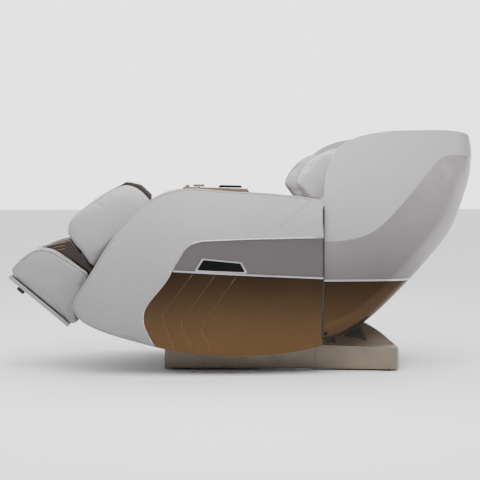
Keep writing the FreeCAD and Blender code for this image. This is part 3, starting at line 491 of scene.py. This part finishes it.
def tube(name, path, radius, material, body, closed=False, sides=8):
    """A round bead along a path of points, as a mesh."""
    path = [Vector(point) for point in path]
    count = len(path)
    verts, faces = [], []
    for index, point in enumerate(path):
        if closed:
            before, after = path[index - 1], path[(index + 1) % count]
        else:
            before, after = path[max(index - 1, 0)], path[min(index + 1, count - 1)]
        along = (after - before).normalized()
        side = along.cross(Vector((0, 1, 0)))
        if side.length < 0.2:
            side = along.cross(Vector((0, 0, 1)))
        side.normalize()
        up = along.cross(side)
        for step in range(sides):
            angle = 2 * math.pi * step / sides
            verts.append(point + (side * math.cos(angle) + up * math.sin(angle)) * radius)
    rings = count if closed else count - 1
    for ring in range(rings):
        for step in range(sides):
            a = ring * sides + step
            b = ring * sides + (step + 1) % sides
            c = ((ring + 1) % count) * sides + (step + 1) % sides
            d = ((ring + 1) % count) * sides + step
            faces.append((a, b, c, d))
    if not closed:
        faces.append(tuple(range(sides))[::-1])
        faces.append(tuple((count - 1) * sides + step for step in range(sides)))
    mesh = bpy.data.meshes.new(name)
    mesh.from_pydata([tuple(vert) for vert in verts], [], faces)
    work = bmesh.new()
    work.from_mesh(mesh)
    bmesh.ops.recalc_face_normals(work, faces=work.faces)
    work.to_mesh(mesh)
    work.free()
    return new_piece(name, mesh, material, body)


def smooth_path(points, steps=8, closed=False):
    """Catmull-Rom points through the given ones."""
    points = [Vector(point) for point in points]
    count = len(points)
    result = []
    spans = count if closed else count - 1
    for index in range(spans):
        if closed:
            p0, p1, p2, p3 = (points[(index + shift) % count] for shift in (-1, 0, 1, 2))
        else:
            p0, p1, p2, p3 = (points[min(max(index + shift, 0), count - 1)] for shift in (-1, 0, 1, 2))
        for step in range(steps):
            t = step / steps
            result.append(0.5 * (2 * p1 + (p2 - p0) * t + (2 * p0 - 5 * p1 + 4 * p2 - p3) * t * t
                                 + (3 * p1 - p0 - 3 * p2 + p3) * t ** 3))
    if not closed:
        result.append(points[-1])
    return result


def surface(item):
    graph = bpy.context.evaluated_depsgraph_get()
    graph.update()
    return BVHTree.FromObject(item, graph)


def dropped(tree, points):
    """Moves points onto the nearest place of a surface."""
    return [tree.find_nearest(point)[0] for point in points]


RAY_REACH = 1.5


def rim(tree, centre, side_y, angles):
    """Points where rays towards the centre, in one plane across the chair, first meet a surface."""
    result = []
    for angle in angles:
        way = Vector((math.cos(angle), 0, math.sin(angle)))
        origin = Vector((centre[0], side_y, centre[1])) + way * RAY_REACH
        place, _, _, _ = tree.ray_cast(origin, -way)
        if place is not None:
            result.append(place)
    return result


def tilt_frame(joint, slope):
    """Origin and unit vectors (along, out) of a tilted working frame at a joint."""
    origin = Vector(joints[joint]["pos_m"])
    angle = math.radians(slope)
    along = Vector((math.cos(angle), 0, math.sin(angle)))
    out = Vector((-math.sin(angle), 0, math.cos(angle)))
    return origin, along, out


CALF = tilt_frame("legrest_lift", 35.0)
BACK = tilt_frame("back_recline", 43.5)


def spot(tilted, along, out, y):
    origin, forward, up = tilted
    return origin + forward * along + up * out + Vector((0, y, 0))


# ---------------------------------------------------------------- padded pieces

def seat_cushion():
    item = remeshed(copied("seat_cushion", "seat_pad"), 0.009, 10)
    inflated(item, 3.0, 0.010)
    low, high = [Vector(corner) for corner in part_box("seat_cushion")]
    length = high.x - low.x
    drop = (low.z + 0.085 - high.z) / length
    tree = surface(item)
    for share in (0.18, 0.36, 0.54, 0.72):
        x = low.x + share * length
        z = high.z + (x - low.x) * drop * 0.9
        line = [Vector((x, y, z + 0.15)) for y in np.linspace(-0.20, 0.20, 21)]
        hits = [tree.ray_cast(point, Vector((-0.5, 0, -0.86)))[0] for point in line]
        grooved(item, [hit for hit in hits if hit is not None], 0.007, 0.007)
    subdivided(item)
    return settled(item, LEATHER, "seat", "leather", "seat_cushion", fill=0.85)


def back_cushion():
    item = remeshed(copied("back_cushion", "back_pad"), 0.009, 10)
    rearward = spot(BACK, 0, -1, 0) - spot(BACK, 0, 0, 0)
    inflated(item, 3.0, 0.010, flat_towards=[rearward])
    for along in (0.16, 0.30, 0.44, 0.58, 0.72):
        grooved(item, [spot(BACK, along, 0.026, y) for y in np.linspace(-0.19, 0.19, 21)], 0.008, 0.008)
    for side in (-1, 1):
        line = [spot(BACK, along, 0.026, side * 0.19) for along in np.linspace(0.06, 0.82, 30)]
        grooved(item, line, 0.008, 0.008)
    subdivided(item)
    return settled(item, LEATHER, "back", "leather", "back_cushion", fill=0.85)


def shoulder_pads():
    for side, name in ((-1, "left"), (1, "right")):
        label = "shoulder_pad_" + name
        item = remeshed(copied(label, "shoulder_wing_" + name), 0.006, 26)
        down_the_back = spot(BACK, -1, 0, 0) - spot(BACK, 0, 0, 0)
        inflated(item, 4.0, 0.010, flat_towards=[(0, side, 0), down_the_back])
        tree = surface(item)
        low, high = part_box(label)
        centre = ((low[0] + high[0]) / 2 + 0.02, (low[2] + high[2]) / 2)
        inner = side * 0.188
        angles = np.radians(np.linspace(80, 250, 40))
        for shift, width in ((0.0, 0.0035), (0.014, 0.0030)):
            seam = rim(tree, centre, inner + side * shift, angles)
            grooved(item, seam, width, 0.0025)
        subdivided(item)
        settled(item, LEATHER, "back", "leather", label, fill=0.9)
        bead = rim(surface(item), centre, inner + side * 0.007, angles)
        tube("shoulder_piping_" + name, smooth_path(bead, 2), 0.0024, PIPING_AND_GROOVE_SHADE, "back")


def shell_lining():
    """Padded side linings of the back shell, one piece each side."""
    for side, name in ((-1, "left"), (1, "right")):
        item = remeshed(copied("shell_lining", "side_lining_" + name, keep=side), 0.009, 14)
        inflated(item, 3.0, 0.008)
        for share in (0.50, 0.62, 0.74, 0.86):
            line = [Vector((x, side * 0.258, share)) for x in np.linspace(0.36, 0.88, 30)]
            grooved(item, line, 0.007, 0.005)
        subdivided(item)
        if side > 0:
            settled(item, LEATHER, "back", "leather", fill=0.85)
        else:
            settled(item, LEATHER, "back", "leather", "shell_lining", fill=0.85)


def head_pillow():
    item = remeshed(copied("head_pillow", "head_rest_pad"), 0.007, 14)
    inflated(item, 5.0, 0.010)
    for y in (-0.075, 0.075):
        line = [spot(BACK, along, 0.086, y) for along in np.linspace(0.66, 0.78, 12)]
        grooved(item, line, 0.006, 0.006)
    subdivided(item)
    return settled(item, LEATHER, "head_pillow", "leather", "head_pillow", fill=0.8)


def calf_rest():
    item = remeshed(copied("calf_block", "calf_pad"), 0.008, 34)
    inflated(item, 3.0, 0.010)
    crowned(item, 0.006, 1, 0.5)
    subdivided(item)
    settled(item, LEATHER, "legrest", "leather", "calf_block", fill=0.9)
    tree = surface(item)
    centre_point = spot(CALF, -0.09, 0.13, 0)
    centre = (centre_point.x, centre_point.z)
    angles = np.radians(np.arange(0, 360, 4))
    for side, name in ((-1, "left"), (1, "right")):
        bead = rim(tree, centre, side * 0.222, angles)
        line = smooth_path(bead, 2, closed=True)
        tube("calf_piping_" + name, line, 0.0022, PIPING_AND_GROOVE_SHADE, "legrest", closed=True)
    return item


FOOT_SEAM = ((-0.480, 0.229), (-0.431, 0.226), (-0.407, 0.219), (-0.380, 0.200), (-0.351, 0.163),
             (-0.319, 0.092), (-0.293, 0.020))
INSTEP = ((-0.420, 0.2165), (-0.386, 0.2165), (-0.331, 0.199), (-0.284, 0.179))


def foot_line(points, y, shift=0.0):
    return smooth_path([spot(CALF, along - shift, out - shift, y) for along, out in points], 8)


def foot_rest():
    """Padded foot rest with a piped side seam, and bronze lines on the lining of the instep."""
    item = remeshed(copied("foot_block", "foot_pad"), 0.007, 12)
    inflated(item, 3.0, 0.005)
    for side in (-1, 1):
        grooved(item, dropped(surface(item), foot_line(FOOT_SEAM, side * 0.245)), 0.005, 0.003)
    subdivided(item)
    settled(item, LEATHER, "footrest", "leather", "foot_block", fill=0.9)
    tree = surface(item)
    for side, name in ((-1, "left"), (1, "right")):
        bead = dropped(tree, foot_line(FOOT_SEAM, side * 0.245))
        tube("foot_piping_" + name, bead, 0.0018, PIPING_AND_GROOVE_SHADE, "footrest")
        for number, shift in enumerate((0.002, 0.012, 0.022)):
            line = foot_line(INSTEP, side * 0.2262, shift)
            tube("instep_line_%s_%d" % (name, number), line, 0.0016, BRONZE_LINE, "footrest")
    return item


def linings():
    """The ribbed cloth in the calf and foot wells."""
    pieces = (("calf_liner", "calf_lining_left", "legrest", -1),
              ("calf_liner", "calf_lining_right", "legrest", 1),
              ("foot_liner", "foot_lining", "footrest", None))
    for label, name, body, side in pieces:
        item = remeshed(copied(label, name, keep=side), 0.0035, 3)
        for polygon in item.data.polygons:
            polygon.use_smooth = True
        dress(item, LINING)
        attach(item, body)
        if side != 1:
            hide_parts(label)


seat_cushion()
back_cushion()
shoulder_pads()
shell_lining()
head_pillow()
calf_rest()
foot_rest()
linings()


# ---------------------------------------------------------------- trims on the hard panels

def on_side(tree, points, side, sink):
    """Points (x, z) pushed across the chair onto the outer side of a surface, sunk a little into it."""
    result = []
    for x, z in points:
        place, _, _, _ = tree.ray_cast(Vector((x, side * 0.6, z)), Vector((0, -side, 0)))
        if place is not None and abs(place.y) > 0.3:
            result.append(place - Vector((0, side * sink, 0)))
    return result


def inset_line(points, amount):
    """A line of (x, z) points moved sideways by amount, to the right of its direction."""
    moved = []
    for index, (x, z) in enumerate(points):
        before = Vector(points[max(index - 1, 0)])
        after = Vector(points[min(index + 1, len(points) - 1)])
        step = (after - before).normalized()
        moved.append((x + step.y * amount, z - step.x * amount))
    return moved


def smooth_flat(points):
    """A smooth curve through points (x, z), as (x, z)."""
    curve = smooth_path([(x, 0, z) for x, z in points], 4)
    return [(point.x, point.z) for point in curve]


EDGE_INSET = 0.006
FINE_LINE = 0.0012
SILVER_LINE = 0.0018
CHEVRON_LINE = 0.0013
# painted shade: a dark strip standing for the shadow in the gap between each arm and the back shell
GAP_SHADE_RADIUS = 0.0042
GAP_SHADE_X, GAP_SHADE_Y = 0.3112, 0.3885
GAP_SHADE_LOW, GAP_SHADE_HIGH = 0.150, 0.690
# painted highlight: a bright line down the rounded rear edge of each arm
REAR_HIGHLIGHT_X, REAR_HIGHLIGHT_LOW = 0.3070, 0.575
ARM_CENTRE = (-0.10, 0.40)
PANEL_TOP = ((-0.304, 0.433), (-0.2545, 0.513), (-0.227, 0.5375), (-0.183, 0.5505), (-0.09, 0.555),
             (0.0, 0.5585), (0.15, 0.5615), (0.304, 0.5645))
PANEL_FRONT = ((-0.370, 0.119), (-0.409, 0.201), (-0.4165, 0.232), (-0.4125, 0.270), (-0.3875, 0.3135),
               (-0.3415, 0.3685), (-0.304, 0.433))
CHEVRONS = (((-0.216, 0.420), (-0.330, 0.266), (-0.338, 0.250), (-0.334, 0.232), (-0.289, 0.106)),
            ((-0.127, 0.414), (-0.254, 0.236), (-0.262, 0.222), (-0.259, 0.204), (-0.203, 0.092)),
            ((-0.042, 0.408), (-0.174, 0.216), (-0.182, 0.202), (-0.179, 0.184), (-0.126, 0.088)))


def arm_edges():
    """The lines on each arm: a dark line of painted shade in the groove inside the edge, silver panel lines,
    painted highlights along the chevrons, a dark strip of painted shade in the gap behind the arm, and a
    painted highlight down its rear edge.
    """
    for side, name in ((-1, "left"), (1, "right")):
        shell = surface(nodes["arm_shell_" + name])
        angles = np.radians(np.arange(30, 252, 2))
        edge = rim(shell, ARM_CENTRE, side * 0.32, angles)
        outline = smooth_flat([(point.x, point.z) for point in edge])
        # painted shade: a dark line standing for the shade in the groove just inside the arm's edge
        line = on_side(shell, inset_line(outline, -EDGE_INSET), side, 0.0004)
        tube("arm_groove_shade_" + name, line, FINE_LINE, PIPING_AND_GROOVE_SHADE, "seat", sides=6)
        for number, points in enumerate((PANEL_TOP, PANEL_FRONT)):
            line = on_side(shell, smooth_flat(points), side, 0.0008)
            label = "arm_line_%s_%d" % (name, number)
            tube(label, line, SILVER_LINE, SILVER, "seat", sides=6)
        skirt = surface(nodes["arm_skirt_" + name])
        # painted highlights: light lines along the chevron grooves of the skirt
        for number, points in enumerate(CHEVRONS):
            line = on_side(skirt, smooth_flat(points), side, 0.0002)
            label = "arm_chevron_highlight_%s_%d" % (name, number)
            tube(label, line, CHEVRON_LINE, CHEVRON_HIGHLIGHT, "seat", sides=6)
        # painted shade: a dark rubber strip where the gap behind the arm lies in shadow
        gap_shade = [Vector((GAP_SHADE_X, side * GAP_SHADE_Y, z)) for z in np.linspace(GAP_SHADE_LOW, GAP_SHADE_HIGH, 28)]
        tube("arm_gap_shade_" + name, gap_shade, GAP_SHADE_RADIUS, RUBBER, "seat")
        # painted highlight: a silver line down the arm's rounded rear edge
        heights = np.linspace(REAR_HIGHLIGHT_LOW, GAP_SHADE_HIGH, 12)
        line = on_side(shell, [(REAR_HIGHLIGHT_X, z) for z in heights], side, 0.0004)
        tube("arm_rear_highlight_" + name, line, FINE_LINE, SILVER, "seat", sides=6)


arm_edges()


# ---------------------------------------------------------------- studio

FLOOR_REACH = 30.0
# the room's light by direction: axis, from and to along it, and the brightness at both
ROOM_LIGHT = (("Y", 0.0, 0.8, 0.18, 2.9), ("Z", 0.3, 0.9, 0.0, 0.8))
# name, place, size in metres, watts
LAMPS = (("key", (-0.1, -1.25, 2.0), 1.7, 62.0), ("top", (0.3, 0.8, 3.0), 2.6, 54.0))
LAMP_AIM = Vector((0, 0, 0.5))
CAMERA_AZIMUTH = -4.0
CAMERA_DISTANCE = 4.6
CAMERA_HEIGHT = 0.771
CAMERA_PITCH = 2.94
LENS = 78.75


def studio():
    scene = bpy.context.scene
    floor_mesh = bpy.data.meshes.new("floor")
    corners = [(x * FLOOR_REACH, y * FLOOR_REACH, 0) for x, y in ((-1, -1), (1, -1), (1, 1), (-1, 1))]
    floor_mesh.from_pydata(corners, [], [(0, 1, 2, 3)])
    floor = bpy.data.objects.new("floor", floor_mesh)
    scene.collection.objects.link(floor)
    look = Tree("studio_floor")
    look.color_from(look.ramp(look.noise(0.6), [(0.3, (0.93, 0.93, 0.93)), (0.7, (0.95, 0.95, 0.95))]))
    look.set(Roughness=0.9)
    dress(floor, look.material)

    world = bpy.data.worlds.new("studio")
    world.use_nodes = True
    links, add = world.node_tree.links, world.node_tree.nodes.new
    split = add("ShaderNodeSeparateXYZ")
    links.new(add("ShaderNodeTexCoord").outputs["Generated"], split.inputs[0])
    parts = []
    for axis, *numbers in ROOM_LIGHT:
        ramp = add("ShaderNodeMapRange")
        for key, number in zip(("From Min", "From Max", "To Min", "To Max"), numbers):
            ramp.inputs[key].default_value = number
        links.new(split.outputs[axis], ramp.inputs["Value"])
        parts.append(ramp.outputs["Result"])
    total = add("ShaderNodeMath")
    for source, target in zip(parts, total.inputs):
        links.new(source, target)
    background = world.node_tree.nodes["Background"]
    background.inputs["Color"].default_value = (1, 1, 1, 1)
    links.new(total.outputs[0], background.inputs["Strength"])
    scene.world = world

    for name, place, size, power in LAMPS:
        lamp = bpy.data.lights.new(name, "AREA")
        lamp.size = size
        lamp.energy = power
        item = bpy.data.objects.new(name, lamp)
        item.location = place
        aim = LAMP_AIM - Vector(place)
        item.rotation_euler = aim.to_track_quat("-Z", "Y").to_euler()
        scene.collection.objects.link(item)

    lens = bpy.data.cameras.new("camera")
    lens.sensor_width = 36.0
    lens.lens = LENS
    camera = bpy.data.objects.new("camera", lens)
    turn = math.radians(CAMERA_AZIMUTH)
    camera.location = (math.sin(turn) * CAMERA_DISTANCE, -math.cos(turn) * CAMERA_DISTANCE, CAMERA_HEIGHT)
    camera.rotation_euler = (math.radians(90 - CAMERA_PITCH), 0, turn)
    scene.collection.objects.link(camera)
    scene.camera = camera


studio()
